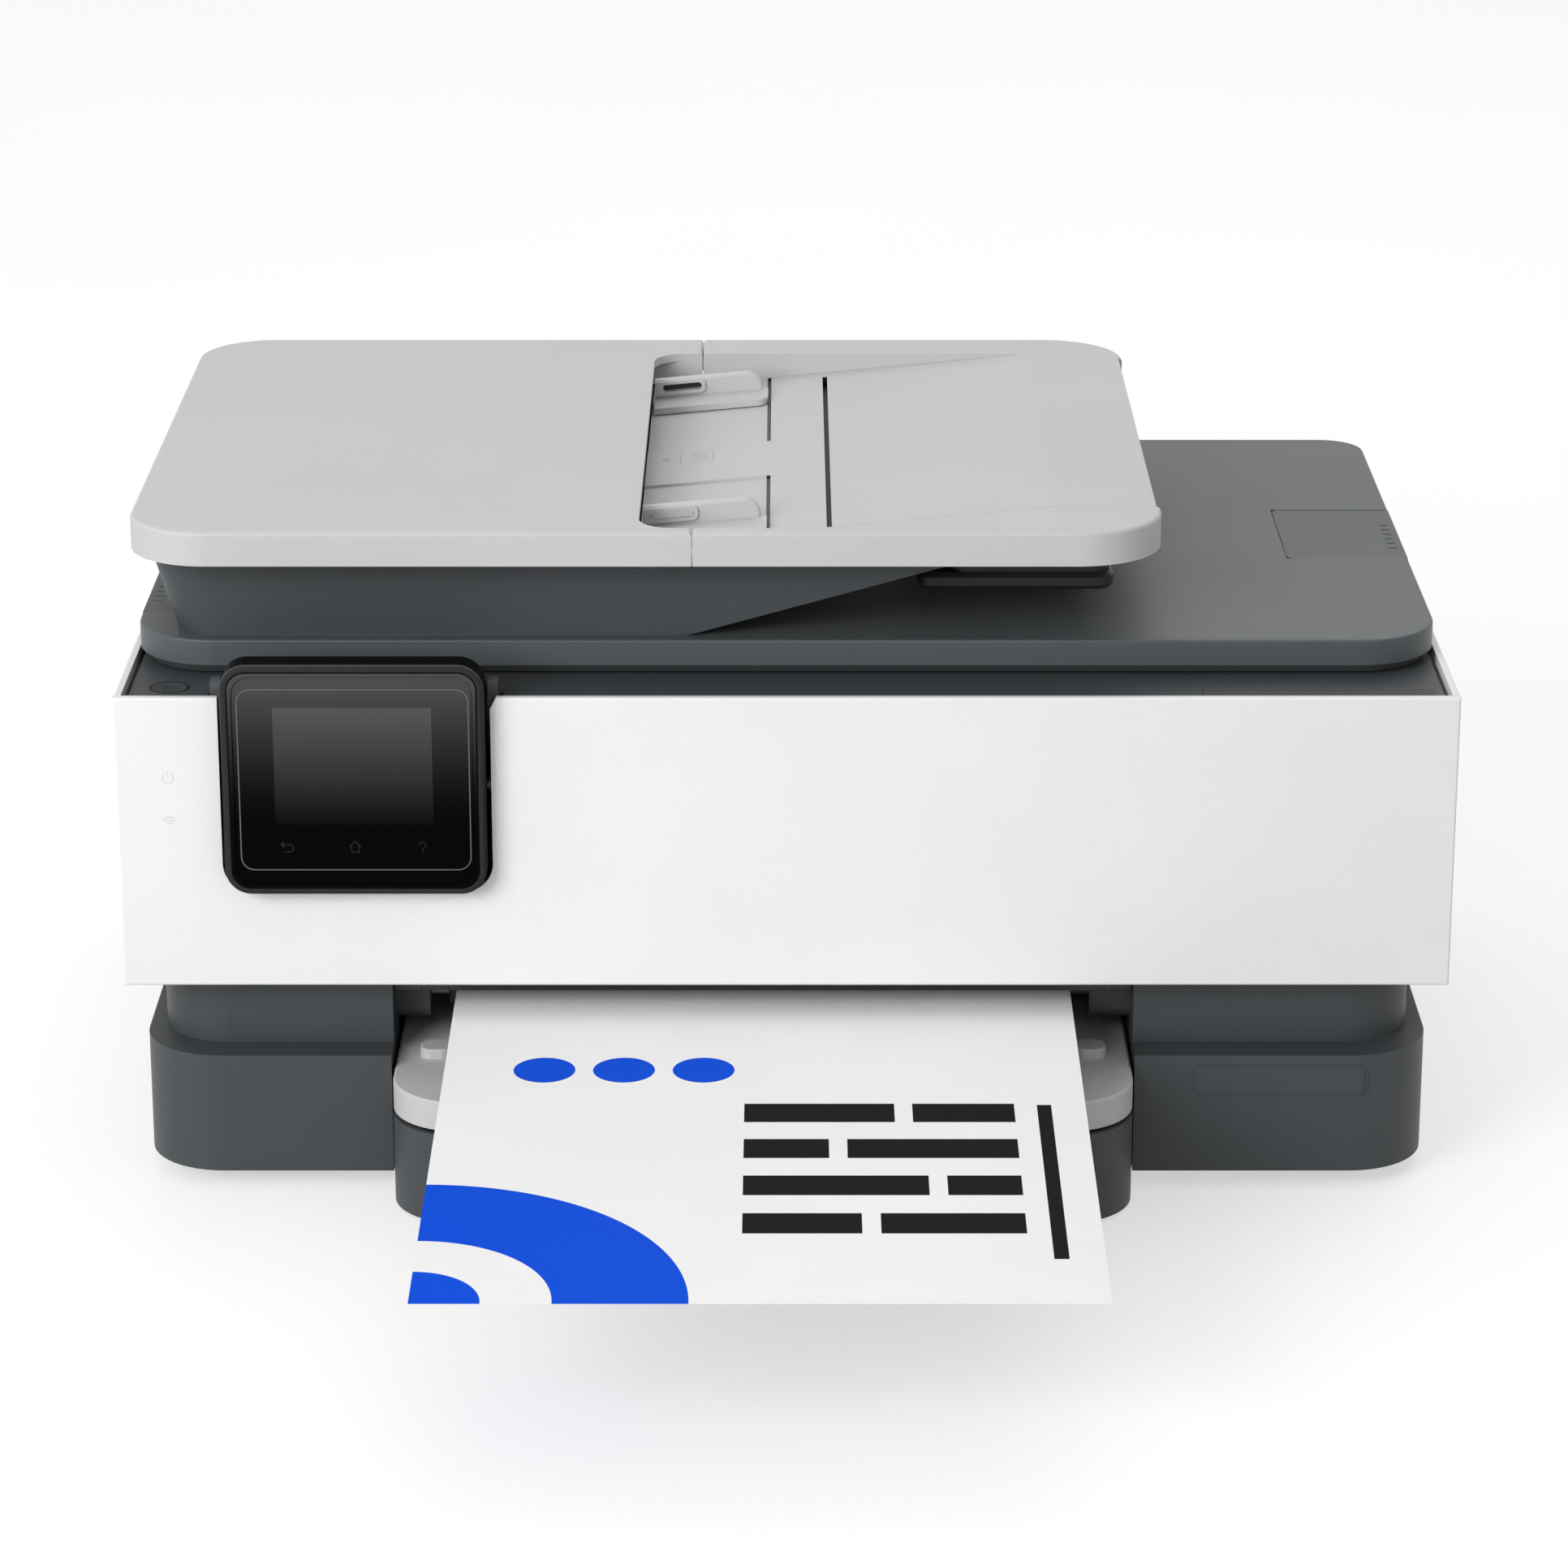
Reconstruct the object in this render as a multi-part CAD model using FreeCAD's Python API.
"""All-in-one desktop inkjet printer with a document feeder, as separate solids, in millimetres.

X runs to the right, Y to the back and Z up. The origin is on the desk, under the middle of the whole
object. Depths are given as the distance behind the front door's outer face, and depth_y() turns one into Y.
"""
import FreeCAD
import Part
import math
import os

V = FreeCAD.Vector

# Driving dimensions
WIDTH = 460.0            # over the white belt
BODY_DEPTH = 300.0       # front door to rear cover
REAR_HUMP = 3.0          # paper turn guide standing out of the rear cover
SHEET_OUT = 226.0        # how far the delivered page stands out of the front
FOOT = 6.5               # rubber feet under the base
LEDGE_Z = 50.0           # top of the base's wider lower tier
BELT_LOW = 76.0          # lower edge of the white belt
BELT_TOP = 181.0         # upper edge of the white belt
DECK_TOP = 178.5         # dark deck round the scanner glass
LID_LOW = 179.2
LID_TOP = 191.5
RIM_LOW = 221.5          # lower edge of the feeder's pale rim
FEEDER_TOP = 233.5

# Walls and clearances
WALL = 2.6
RUN = 0.05               # radial play of a shaft in its bore

# Base plan
HALF = WIDTH / 2
LOWER_HALF = HALF - 4.5
UPPER_HALF = HALF - 10.0
UPPER_SET_BACK = 13.0
BAY_LEFT = -138.0        # the paper bay between the two halves of the base
BAY_RIGHT = 121.6
BAY_MID = (BAY_LEFT + BAY_RIGHT) / 2
BAY_END = 262.0
BAY_ROOF = 47.5
CHEEK_FRONT = 28.0       # narrowing of the bay's mouth
CHEEK_BACK = 36.0
FLOOR_TOP = FOOT + 2.5
FOOT_X = 188.0
FOOT_QS = (34.0, 268.0)
FOOT_R = 9.0

# Paper trays
TRAY_LEFT = BAY_LEFT + 1.2
TRAY_RIGHT = BAY_RIGHT - 1.2
TRAY_FRONT = -35.0
TRAY_BACK = 255.0
TRAY_LOW = 1.5
TRAY_TOP = 34.0
OUT_LOW = 35.0
OUT_TOP = 45.5
STOP_TOP = 48.9          # page stops on the page tray
STOP_SIDE = 11.0
STOP_Q = 8.0
STOP_LEFTS = (BAY_MID - 120.5, BAY_MID + 109.5)
TRAY_CORNER = 25.0
PAGE_WIDTH = 215.9       # letter
PAGE_LENGTH = 279.4
PAGE_THICK = 0.25
PAGE_DROP = 8.0          # fall of the page from its tail to its leading edge

# Paper drive
SHAFT_Z = 59.4
EXIT_Q = 44.0
FEED_Q = EXIT_Q + 84.0
ROLLER_R = 6.6
SHAFT_R = 3.0
MODULE = 1.0
SMALL_TEETH = 28
IDLER_TEETH = 56
PINION_TEETH = 14
GEAR_X = -156.0
GEAR_THICK = 6.0
PINION_ANGLE = 60.0      # of the motor pinion round the idler, above the horizontal
IDLER_Q = (EXIT_Q + FEED_Q) / 2
PINION_REACH = MODULE * (IDLER_TEETH + PINION_TEETH) / 2
PINION_Q = IDLER_Q + PINION_REACH * math.cos(math.radians(PINION_ANGLE))
PINION_Z = SHAFT_Z + PINION_REACH * math.sin(math.radians(PINION_ANGLE))
ARM_Q = 180.0            # cross shaft of the pick arm
ARM_Z = 56.0
PICK_Q = 225.0           # pick roller on the stack
PICK_Z = 43.0
PICK_R = 11.0

# Print carriage
CARRIAGE_LEFT = 102.0
CARRIAGE_RIGHT = 198.0
CARRIAGE_FRONT = EXIT_Q + 12.0
ROD_Q = CARRIAGE_FRONT + 80.0
ROD_Z = 105.0
ROD_R = 5.0
PULLEY_X = 188.0
PULLEY_Z = 120.0
PULLEY_R = 6.0
BELT_Q = CARRIAGE_FRONT + 94.0
BELT_WIDE = 6.0
BELT_THICK = 0.8
CARTRIDGES = ("black", "cyan", "magenta", "yellow")
CARTRIDGE_STEP = 22.6
CARTRIDGE_WIDE = 21.4
HEAD_LEFT = 125.3
HEAD_RIGHT = 189.7
PLATE_LEFT = -207.0      # the two steel side plates
PLATE_RIGHT = 203.0
PLATE_THICK = 2.0

# Control panel
PANEL_LEFT = -192.7
PANEL_RIGHT = -102.8
PANEL_LOW = 112.5
PANEL_TOP = 195.0
PANEL_FRONT = -8.0
PANEL_BACK = 3.0
TILT_Q = 7.0
TILT_Z = 183.0

# Power key
KEY_X = -212.6
KEY_Q = 20.0
KEY_R = 6.8
KEY_DISH = 0.6

# Front door
DOOR_THICK = 2.8
DOOR_HINGE_Q = 8.0
DOOR_HINGE_Z = 80.0

# Scanner lid and document feeder
LID_HALF = HALF - 3.0
LID_FRONT = 33.0
LID_BACK = 304.0
LID_HINGE_Q = 295.0
LID_HINGE_Z = 186.0
LID_HINGES = (-157.0, 83.0)      # left end of each hinge's notch
NOTCH_WIDE = 34.0
GRIPS = ((183.0, LID_HALF, 135.0, 200.0), (-LID_HALF, -214.0, 67.0, 132.0))
GRIP_DEEP = 3.2
FEEDER_LEFT = -227.4
FEEDER_RIGHT = 130.0
FEEDER_FRONT = 21.0
FEEDER_BACK = 299.0
SPLIT_X = -32.3          # seam between the feeder's cover and its tray
POCKET_LEFT = -51.0
POCKET_FRONT = 27.0
POCKET_BACK = 275.0
APRON_LOW = 217.4        # lower edge of the cover's wall behind the pocket
SKIRT_BACK = 36.0        # the floor hangs below the rim only behind this
FLAP_LEFT = 15.0
FLAP_FRONT = 54.0
FLAP_BACK = 268.0
SLOPE_END = 93.0         # where the sloping floor meets the top
SLOPE = math.tan(math.radians(5.3))
COVER_HINGE_X = -224.5
COVER_HINGE_Z = 223.5
FLAP_HINGE_X = 124.0
FLAP_HINGE_Z = 230.6
COVER_LUGS = (60.0, 246.0)       # front of each pair of lugs
ROLLER_X = -72.0
ROLLER_Z = 216.0
GUIDE_LEFT = -50.5
GUIDE_RIGHT = -7.0
GUIDE_SLOTS = ((POCKET_FRONT + 1, 130.0), (178.0, POCKET_BACK - 1))
FENCE_HIGH = 9.0
FENCE_THICK = 4.0

# Scanner
TUB_LOW = 150.0
GLASS_THICK = 3.0
GLASS_PANES = ((-200.0, -172.0), (-160.0, 150.0))        # feeder strip and flatbed
GLASS_FRONT = 52.0
GLASS_BACK = 272.0
SCAN_RAIL_Q = 160.0
SCAN_RAIL_Z = 157.0

FRONT_Y = (SHEET_OUT - LID_BACK) / 2


def depth_y(q):
    """Y of a depth measured behind the front door's outer face."""
    return FRONT_Y + q


def block(x0, x1, q0, q1, z0, z1):
    return Part.makeBox(x1 - x0, q1 - q0, z1 - z0, V(x0, depth_y(q0), z0))


def rod_x(x0, x1, q, z, r):
    return Part.makeCylinder(r, x1 - x0, V(x0, depth_y(q), z), V(1, 0, 0))


def rod_y(q0, q1, x, z, r):
    return Part.makeCylinder(r, q1 - q0, V(x, depth_y(q0), z), V(0, 1, 0))


def rod_z(z0, z1, x, q, r):
    return Part.makeCylinder(r, z1 - z0, V(x, depth_y(q), z0), V(0, 0, 1))


def round_outline(u0, u1, v0, v1, radii):
    """Closed wire in the XY plane with a radius at each corner: low-low, high-low, high-high, low-high."""
    corners = [(u0, v0, 1, 1), (u1, v0, -1, 1), (u1, v1, -1, -1), (u0, v1, 1, -1)]
    ends = []
    edges = []
    for index, (u, v, to_u, to_v) in enumerate(corners):
        r = max(radii[index], 0.01)
        bow = r * (1 - math.sqrt(0.5))
        along_u = V(u + to_u * r, v, 0)
        along_v = V(u, v + to_v * r, 0)
        first, last = (along_v, along_u) if index % 2 == 0 else (along_u, along_v)
        edges.append(Part.Arc(first, V(u + to_u * bow, v + to_v * bow, 0), last).toShape())
        ends.append((first, last))
    for index in range(4):
        start = ends[index][1]
        stop = ends[(index + 1) % 4][0]
        if start.distanceToPoint(stop) > 1e-6:
            edges.append(Part.LineSegment(start, stop).toShape())
    return Part.Wire(Part.__sortEdges__(edges))


def plan_slab(x0, x1, q0, q1, z0, z1, front, back=None):
    """Upright prism with a rounded rectangular plan: one radius in front, one behind, or four."""
    radii = front if isinstance(front, tuple) else (front, front, back, back)
    wire = round_outline(x0, x1, depth_y(q0), depth_y(q1), radii)
    slab = Part.Face(wire).extrude(V(0, 0, z1 - z0))
    slab.translate(V(0, 0, z0))
    return slab


def front_slab(x0, x1, z0, z1, q0, q1, r):
    """Prism with a rounded rectangular outline as seen from the front, running back from q0 to q1."""
    slab = Part.Face(round_outline(x0, x1, z0, z1, (r, r, r, r))).extrude(V(0, 0, q1 - q0))
    slab.rotate(V(0, 0, 0), V(1, 0, 0), 90)
    slab.translate(V(0, depth_y(q1), 0))
    return slab


def prism_y(points, q0, q1):
    """Prism along Y from an outline of (x, z) points."""
    ring = [V(x, depth_y(q0), z) for x, z in points]
    return Part.Face(Part.makePolygon(ring + ring[:1])).extrude(V(0, q1 - q0, 0))


def prism_x(points, x0, x1):
    """Prism along X from an outline of (depth, z) points."""
    ring = [V(x0, depth_y(q), z) for q, z in points]
    return Part.Face(Part.makePolygon(ring + ring[:1])).extrude(V(x1 - x0, 0, 0))


def join(first, *others):
    return first.fuse(list(others)).removeSplitter()


def edges_where(shape, test):
    return [edge for edge in shape.Edges if test(edge)]


def level_edges(shape, z):
    """Edges that lie all along one height."""
    return edges_where(shape, lambda e: abs(e.BoundBox.ZMin - z) < 1e-3 and abs(e.BoundBox.ZMax - z) < 1e-3)


def floor_z(x):
    """Height of the document tray's sloping floor."""
    return FEEDER_TOP - SLOPE * max(0.0, SLOPE_END - x)


def gear(teeth, x0, thick, q, z, bore, turn_deg):
    """Spur gear about X with involute flanks. A turn of 0 puts one tooth on the +Y side."""
    pitch_r = MODULE * teeth / 2
    base_r = pitch_r * math.cos(math.radians(20))
    tip_r = pitch_r + 0.9 * MODULE
    root_r = pitch_r - 1.25 * MODULE
    flank_play = 0.12
    involute = math.tan(math.radians(20)) - math.radians(20)
    half_at_pitch = math.pi / (2 * teeth) - flank_play / pitch_r

    def half_angle(r):
        pressure = math.acos(min(1.0, base_r / r))
        return half_at_pitch + involute - (math.tan(pressure) - pressure)

    flank = [max(base_r, root_r) + (tip_r - max(base_r, root_r)) * k / 3 for k in range(4)]
    ring = []
    for tooth in range(teeth):
        middle = math.radians(turn_deg) + 2 * math.pi * tooth / teeth
        rising = [(root_r, -half_angle(flank[0]))] + [(r, -half_angle(r)) for r in flank]
        for r, a in rising + [(r, -a) for r, a in reversed(rising)]:
            angle = middle + a
            ring.append(V(x0, depth_y(q) + r * math.cos(angle), z + r * math.sin(angle)))
    body = Part.Face(Part.makePolygon(ring + ring[:1])).extrude(V(thick, 0, 0))
    return body.cut(rod_x(x0 - 1, x0 + thick + 1, q, z, bore))


# Casing

PORTS = {                # name: left, right, low, high of the socket in the back wall
    "usb": (-168.0, -156.0, 16.0, 27.0),
    "network": (-190.0, -174.0, 16.0, 30.0),
    "power": (160.0, 182.0, 18.0, 31.0),
}
PORT_DEEP = 14.0


def base_casing():
    """Lower housing: two tiers with round corners, a paper bay through the middle and hinge posts for the door."""
    lower = plan_slab(-LOWER_HALF, LOWER_HALF, 0, BODY_DEPTH, FOOT, LEDGE_Z, 28, 14)
    upper = plan_slab(-UPPER_HALF, UPPER_HALF, UPPER_SET_BACK, BODY_DEPTH - 4, LEDGE_Z, BELT_LOW, 24, 12)
    inner = BODY_DEPTH - WALL
    low_room = plan_slab(WALL - LOWER_HALF, LOWER_HALF - WALL, WALL, inner, FLOOR_TOP, LEDGE_Z - WALL, 25, 12)
    high_room = plan_slab(WALL - UPPER_HALF, UPPER_HALF - WALL, UPPER_SET_BACK + WALL, inner - 4,
                          FLOOR_TOP, BELT_LOW + 1, 21, 10)
    bay_walls = [
        block(BAY_LEFT - 3, BAY_LEFT, 1, BAY_END + 3, FLOOR_TOP - 1, BAY_ROOF),
        block(BAY_RIGHT, BAY_RIGHT + 3, 1, BAY_END + 3, FLOOR_TOP - 1, BAY_ROOF),
        block(BAY_LEFT - 3, BAY_RIGHT + 3, BAY_END, BAY_END + 3, FLOOR_TOP - 1, BAY_ROOF - 8),
        block(BAY_LEFT - WALL, BAY_LEFT, UPPER_SET_BACK, CHEEK_BACK, BAY_ROOF - 1, BELT_LOW),
        block(BAY_RIGHT, BAY_RIGHT + WALL, UPPER_SET_BACK, CHEEK_BACK, BAY_ROOF - 1, BELT_LOW),
    ]
    cheeks = [
        block(BAY_LEFT, BAY_LEFT + 12, CHEEK_FRONT, CHEEK_BACK, 53, BELT_LOW),
        block(BAY_RIGHT - 14.6, BAY_RIGHT, CHEEK_FRONT, CHEEK_BACK, 53, BELT_LOW),
    ]
    cheeks = [c.makeFillet(4, edges_where(c, lambda e: e.BoundBox.ZMax < 54 and e.BoundBox.XLength > 5
                                          and e.BoundBox.YMax < depth_y(CHEEK_FRONT + 1))) for c in cheeks]
    shell = lower.fuse(upper).cut(low_room.fuse(high_room))
    mouth = block(BAY_LEFT, BAY_RIGHT, -1, CHEEK_FRONT, BAY_ROOF - 1, BELT_LOW + 1)
    tunnel = block(BAY_LEFT, BAY_RIGHT, -1, BAY_END, 0, BAY_ROOF)
    shell = shell.fuse(bay_walls).cut(mouth.fuse(tunnel)).fuse(cheeks)
    posts = []
    for x in (BAY_LEFT - 3, BAY_RIGHT):
        posts.append(block(x, x + 3, ARM_Q - 6, ARM_Q + 6, BAY_ROOF - 1, ARM_Z + 6).cut(rod_x(x - 1, x + 4, ARM_Q, ARM_Z, SHAFT_R + 0.02)))
    for x in (-211.5, 205.0):
        post = block(x, x + 6.5, DOOR_HINGE_Q, UPPER_SET_BACK + 6, BELT_LOW - 1, DOOR_HINGE_Z + 4.6)
        post = post.cut(block(x - 1, x + 7.5, 0, UPPER_SET_BACK, BELT_LOW - 2, BELT_LOW))
        post = post.fuse(rod_x(x, x + 6.5, DOOR_HINGE_Q, DOOR_HINGE_Z, 4.0))
        posts.append(post.cut(rod_x(x - 1, x + 7.5, DOOR_HINGE_Q, DOOR_HINGE_Z, 2.02)))
    for x in (-212, -196, -180, -164, 146, 162, 178, 194, 210):
        posts.append(block(x - 0.8, x + 0.8, 20, 56, FLOOR_TOP - 1, FLOOR_TOP + 9))
    shell = shell.fuse(posts)
    for left, right, low, high in PORTS.values():
        shell = shell.cut(block(left - 0.1, right + 0.1, BODY_DEPTH - 6, BODY_DEPTH + 1, low - 0.1, high + 0.1))
    return shell.removeSplitter()


def rubber_feet():
    """Four pressed discs with an eased lower edge."""
    pads = []
    for x in (-FOOT_X, FOOT_X):
        for q in FOOT_QS:
            pad = rod_z(0, FOOT, x, q, FOOT_R)
            pads.append(pad.makeChamfer(1.2, level_edges(pad, 0)))
    return Part.makeCompound(pads)


def side_cover(side):
    """White side of the belt: a channel with a turned-in lower lip and inner ribs, eased for the door's swing."""
    outer = HALF
    wall = block(outer - WALL, outer, 3.2, BODY_DEPTH, BELT_LOW + 0.2, BELT_TOP)
    lip = block(UPPER_HALF - 6, outer - 1, 20, BODY_DEPTH - 8, BELT_LOW + 0.2, BELT_LOW + 2.4)
    ribs = [block(outer - WALL - 1.4, outer - WALL + 0.5, q, q + 1.6, BELT_LOW + 1, 168) for q in range(40, 290, 48)]
    cover = join(wall, lip, *ribs)
    cover = cover.makeFillet(0.8, edges_where(cover, lambda e: e.BoundBox.YLength > 250
                                              and e.BoundBox.XMin > outer - 0.01))
    corner = [(2, BELT_LOW), (6.0, BELT_LOW), (6.0, BELT_LOW + 0.2), (3.2, BELT_LOW + 3), (2, BELT_LOW + 3)]
    cover = cover.cut(prism_x(corner, outer - 10, outer + 1))
    if side < 0:
        cover = cover.mirror(V(0, 0, 0), V(1, 0, 0))
    return cover


def rear_cover():
    """Back wall with a paper turn guide, vent slots, a top flange and the posts of the lid's hinges."""
    half = HALF - WALL - 0.4
    wall = block(-half, half, BODY_DEPTH - 3, BODY_DEPTH, BELT_LOW + 0.3, 174.5)
    flange = block(-half, half, 284, BODY_DEPTH - 2, 172, 174.5)
    hump = front_slab(-120, 104, 84, 150, BODY_DEPTH - 1, BODY_DEPTH + REAR_HUMP, 8)
    hump = hump.makeFillet(2, edges_where(hump, lambda e: e.BoundBox.YMin > depth_y(BODY_DEPTH + REAR_HUMP) - 0.01))
    cover = join(wall, flange, hump)
    slots = [block(130 + 9 * k, 134 + 9 * k, BODY_DEPTH - 4, BODY_DEPTH + 1, 92, 140) for k in range(9)]
    cover = cover.cut(Part.makeCompound(slots))
    posts = []
    for x in [left + at for left in LID_HINGES for at in (1.0, NOTCH_WIDE - 7.0)]:
        post = block(x, x + 6, 289, BODY_DEPTH - 0.5, 173, LID_HINGE_Z)
        post = post.fuse(rod_x(x, x + 6, LID_HINGE_Q, LID_HINGE_Z, 4.5))
        posts.append(post.cut(rod_x(x - 1, x + 7, LID_HINGE_Q, LID_HINGE_Z, 3.02)))
    return cover.fuse(posts).removeSplitter()


def top_deck():
    """Dark frame round the scanner glass, with the power key's hole and the control panel's hinge ears."""
    half = HALF - WALL - 1.6
    deck = plan_slab(-half, half, 3.6, 283, 174, DECK_TOP, 2, 2)
    skirt = block(-half + 4, half - 4, 4.2, 6.4, 160, 175)
    deck = deck.fuse(skirt)
    deck = deck.cut(block(-198.5, -97.0, 0, 14, 150, 180))
    for left, right in GLASS_PANES:
        deck = deck.cut(block(left, right, GLASS_FRONT, GLASS_BACK, DECK_TOP - GLASS_THICK, DECK_TOP + 1))
        deck = deck.cut(block(left + 3, right - 3, GLASS_FRONT + 3, GLASS_BACK - 3, 170, DECK_TOP))
    deck = deck.cut(rod_z(170, 180, KEY_X, KEY_Q, KEY_R + 0.2))
    shelf = block(-198.5, -97.0, 14 - 0.01, 22, 170, 174.5)
    ears = [shelf]
    for x in (PANEL_LEFT - 4.2, PANEL_RIGHT + 0.7):
        ear = block(x, x + 3.5, TILT_Q - 3.6, 16, 172, TILT_Z).fuse(rod_x(x, x + 3.5, TILT_Q, TILT_Z, 3.6))
        ears.append(ear.cut(rod_x(x - 1, x + 4.5, TILT_Q, TILT_Z, 2.02)))
    return deck.fuse(ears).removeSplitter()


def hinge_pins():
    """Steel pins of the lid, the front door and the control panel, each pressed into its posts."""
    pins = [rod_x(x + 1, x + 33, LID_HINGE_Q, LID_HINGE_Z, 3.0) for x in LID_HINGES]
    pins += [rod_x(x, x + 15, DOOR_HINGE_Q, DOOR_HINGE_Z, 2.0) for x in (-220, 205)]
    pins += [rod_x(x, x + 9, TILT_Q, TILT_Z, 2.0) for x in (PANEL_LEFT - 4.2, PANEL_RIGHT - 4.8)]
    return Part.makeCompound(pins)


def front_door():
    """White front of the belt, cut out for the control panel, with stiffening ribs and hinge knuckles."""
    skin = block(-HALF, HALF, 0, DOOR_THICK, BELT_LOW + 0.2, BELT_TOP)
    skin = skin.makeFillet(0.8, edges_where(skin, lambda e: e.BoundBox.YMax < depth_y(0.1)))
    cut_left = PANEL_LEFT - 1.6
    cut_right = PANEL_RIGHT + 1.6
    skin = skin.cut(front_slab(cut_left, cut_right, PANEL_LOW - 1.6, BELT_TOP + 20, -2, DOOR_THICK + 2, 10))
    corner = [(cut_right - 1, BELT_TOP + 1), (cut_right + 2.6, BELT_TOP + 1), (cut_right, BELT_TOP - 4),
              (cut_right - 1, BELT_TOP - 4)]
    skin = skin.cut(prism_y(corner, -2, DOOR_THICK + 2))
    ribs = [block(-222, 222, DOOR_THICK - 0.5, DOOR_THICK + 1.8, z, z + 1.6) for z in (90, 100)]
    ribs += [block(x, x + 1.6, DOOR_THICK - 0.5, DOOR_THICK + 1.4, 88, 158) for x in range(-60, 221, 40)]
    for x in (-220.0, 212.0):
        knuckle = rod_x(x, x + 8, DOOR_HINGE_Q, DOOR_HINGE_Z, 3.9)
        web = block(x, x + 8, DOOR_THICK - 0.5, DOOR_HINGE_Q, DOOR_HINGE_Z - 3.0, DOOR_HINGE_Z + 3.9)
        ribs.append(knuckle.fuse(web).cut(rod_x(x - 1, x + 9, DOOR_HINGE_Q, DOOR_HINGE_Z, 2.0 + RUN)))
    return join(skin, *ribs)


# Control panel

def panel_housing():
    """Black touch panel housing: a rounded frame with a recess for the glass and a hinge boss behind."""
    body = front_slab(PANEL_LEFT, PANEL_RIGHT, PANEL_LOW, PANEL_TOP, PANEL_FRONT, PANEL_BACK, 9)
    body = body.makeFillet(1.6, edges_where(body, lambda e: e.BoundBox.YMax < depth_y(PANEL_FRONT + 0.01)))
    window = front_slab(PANEL_LEFT + 4, PANEL_RIGHT - 4, PANEL_LOW + 4, PANEL_TOP - 4,
                        PANEL_FRONT - 1, PANEL_FRONT + 2.6, 6.5)
    room = front_slab(PANEL_LEFT + 8, PANEL_RIGHT - 8, PANEL_LOW + 12, PANEL_TOP - 12,
                      PANEL_FRONT, PANEL_FRONT + 6.4, 3)
    boss = block(PANEL_LEFT + 6, PANEL_RIGHT - 6, PANEL_BACK - 1, TILT_Q, 168, TILT_Z + 4.5)
    boss = boss.fuse(rod_x(PANEL_LEFT + 1.5, PANEL_RIGHT - 1.5, TILT_Q, TILT_Z, 4.5))
    bore = rod_x(PANEL_LEFT - 1, PANEL_LEFT + 6, TILT_Q, TILT_Z, 2.0 + RUN)
    bore = bore.fuse(rod_x(PANEL_RIGHT - 6, PANEL_RIGHT + 1, TILT_Q, TILT_Z, 2.0 + RUN))
    return body.cut(window).cut(room).fuse(boss).cut(bore).removeSplitter()


def touch_glass():
    return front_slab(PANEL_LEFT + 4.2, PANEL_RIGHT - 4.2, PANEL_LOW + 4.2, PANEL_TOP - 4.2,
                      PANEL_FRONT + 0.5, PANEL_FRONT + 2.6, 6.3)


def display_module():
    middle = (PANEL_LEFT + PANEL_RIGHT) / 2
    cell = block(middle - 30, middle + 30, PANEL_FRONT + 2.7, PANEL_FRONT + 5.2, 134, 180)
    board = block(middle - 34, middle + 34, PANEL_FRONT + 5.2, PANEL_FRONT + 6.3, 126, 182)
    return cell.fuse(board).removeSplitter()


def power_button():
    """Round key with a dished face on a short stem, flush with the deck."""
    cap = rod_z(DECK_TOP - 4, DECK_TOP, KEY_X, KEY_Q, KEY_R)
    dish = Part.makeCone(0, KEY_R - 0.8, KEY_DISH, V(KEY_X, depth_y(KEY_Q), DECK_TOP - KEY_DISH))
    stem = rod_z(DECK_TOP - 9, DECK_TOP - 4, KEY_X, KEY_Q, 3)
    return cap.cut(dish).fuse(stem).removeSplitter()


# Scanner

def scanner_glass():
    """Narrow pane for fed documents and the flatbed beside it."""
    panes = []
    for left, right in GLASS_PANES:
        panes.append(block(left + 0.2, right - 0.2, GLASS_FRONT + 0.2, GLASS_BACK - 0.2,
                           DECK_TOP - GLASS_THICK, DECK_TOP - 0.1))
    return Part.makeCompound(panes)


def scanner_tub():
    """Tray under the glass that the scan bar runs in, ribbed underneath."""
    tub = block(-216, 190, 40, 280, TUB_LOW, 174)
    tub = tub.cut(block(-213.5, 187.5, 42.5, 277.5, TUB_LOW + 2, 175))
    ribs = [block(x, x + 1.6, 60, 260, TUB_LOW - 1.5, TUB_LOW + 0.5) for x in range(-180, 190, 60)]
    return join(tub, *ribs)


def scan_rail():
    return rod_x(-213.5, 187.5, SCAN_RAIL_Q, SCAN_RAIL_Z, 3.0)


def scan_bar():
    """Contact image sensor on its slider, parked under the feeder's glass strip."""
    bar = block(-197, -175, 50, 274, 163, 173.4)
    bar = bar.cut(block(-190, -182, 56, 268, 171.4, 174))
    saddle = block(-199, -173, SCAN_RAIL_Q - 9, SCAN_RAIL_Q + 9, 153, 164)
    return bar.fuse(saddle).cut(rod_x(-200, -172, SCAN_RAIL_Q, SCAN_RAIL_Z, 3.0 + RUN)).removeSplitter()


# Print engine

def plate_window(x, q, z):
    """Rounded lightening window through a side plate."""
    window = block(x - 1, x + PLATE_THICK + 1, q - 12, q + 12, z - 12, z + 12)
    return window.makeFillet(4, edges_where(window, lambda e: e.BoundBox.XLength > 3))


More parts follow.
